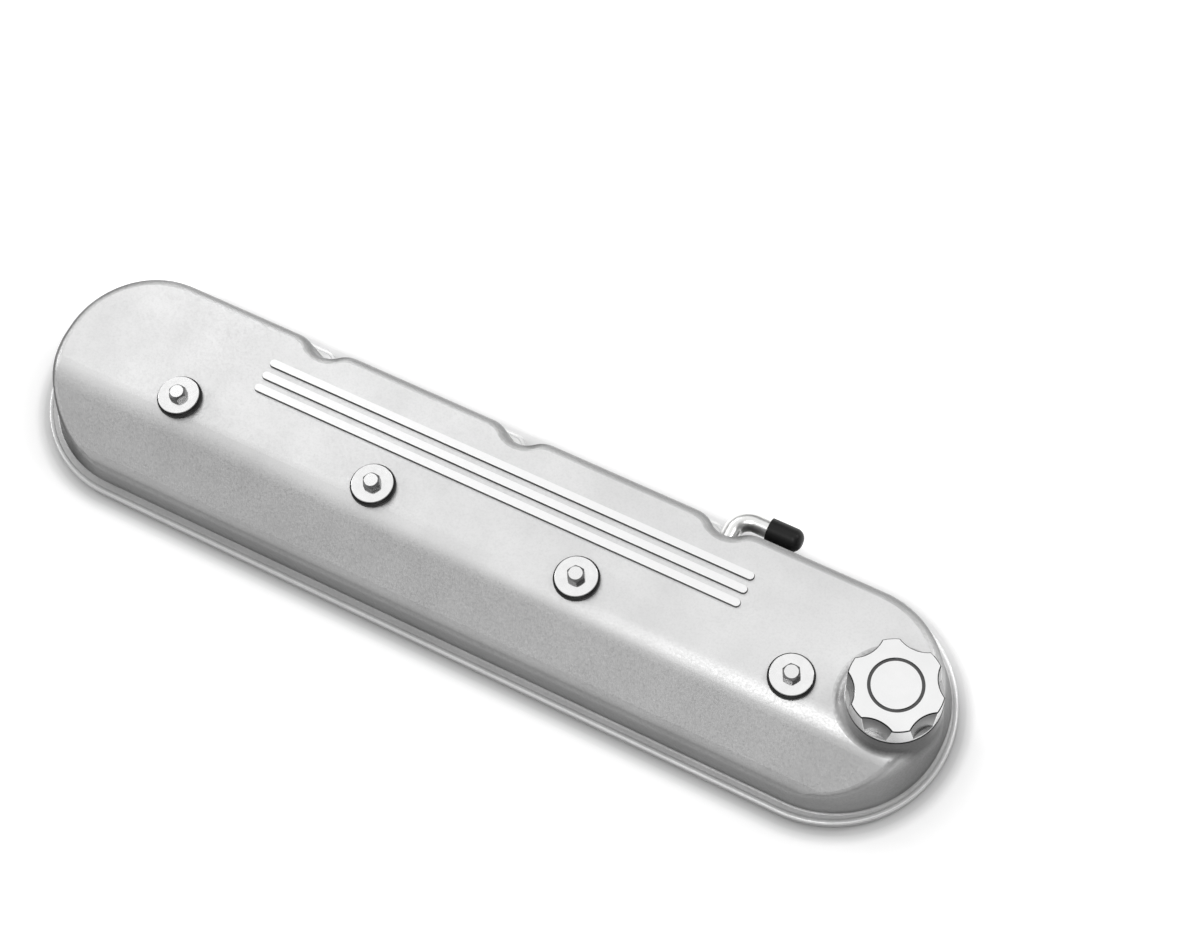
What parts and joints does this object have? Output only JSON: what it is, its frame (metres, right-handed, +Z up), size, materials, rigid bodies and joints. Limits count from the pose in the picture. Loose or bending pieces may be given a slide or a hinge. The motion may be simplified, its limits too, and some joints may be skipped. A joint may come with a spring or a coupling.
{
  "type": "engine valve cover",
  "caption": "Cast aluminium cover for an engine's valve gear, with notched back wall, sloped front, screw-on oil filler cap, rubber-mounted bolts and a capped breather tube.",
  "frame": {"origin": "on the sealing plane that the gasket meets, in the middle of the line of cover bolts", "axes": "+X runs along the cover to the end with the oil filler cap, +Y to the notched wall and the breather tube, +Z up out of the roof, away from the cylinder head"},
  "size_m": [0.4984, 0.1262, 0.0658],
  "materials": {
    "cast_aluminium": "satin, fine cast grain",
    "turned_aluminium": "turned, fine satin",
    "polished_washer": "polished",
    "plated_steel": "zinc plated, satin",
    "plated_tube": "zinc plated, drawn",
    "sheet_steel": "zinc plated sheet",
    "soft_rubber": "matt black",
    "seal_rubber": "smooth black"
  },
  "bodies": {
    "cover": {"cover_casting": "cast_aluminium", "perimeter_gasket": "seal_rubber", "bolt_1": "plated_steel", "bolt_2": "plated_steel", "bolt_3": "plated_steel", "bolt_4": "plated_steel", "washer_1": "polished_washer", "washer_2": "polished_washer", "washer_3": "polished_washer", "washer_4": "polished_washer", "grommet_1": "soft_rubber", "grommet_2": "soft_rubber", "grommet_3": "soft_rubber", "grommet_4": "soft_rubber", "sleeve_1": "plated_steel", "sleeve_2": "plated_steel", "sleeve_3": "plated_steel", "sleeve_4": "plated_steel", "breather_tube": "plated_tube", "baffle": "sheet_steel", "baffle_screw_1": "plated_steel", "baffle_screw_2": "plated_steel", "baffle_screw_3": "plated_steel", "baffle_screw_4": "plated_steel"},
    "seal_ring": {"cap_seal_ring": "seal_rubber"},
    "filler_cap": {"filler_cap": "turned_aluminium"},
    "tube_cap": {"tube_cap": "soft_rubber"}
  },
  "joints": [
    {"name": "cap_lift", "type": "slide", "parent": "cover", "child": "seal_ring", "axis": [0, 0, 1], "range_m": [0, 0.0141]},
    {"name": "cap_turn", "type": "hinge", "parent": "seal_ring", "child": "filler_cap", "pos_m": [0.2146, 0.0094, 0.0508], "axis": [0, 0, 1], "range_deg": [0, 1260]},
    {"name": "tube_cap_pull", "type": "slide", "parent": "cover", "child": "tube_cap", "axis": [1, 0, 0], "range_m": [0, 0.02]}
  ],
  "couplings": [
    {"joint": "cap_lift", "follows": "cap_turn", "m_per_rad": 0.00063662}
  ]
}
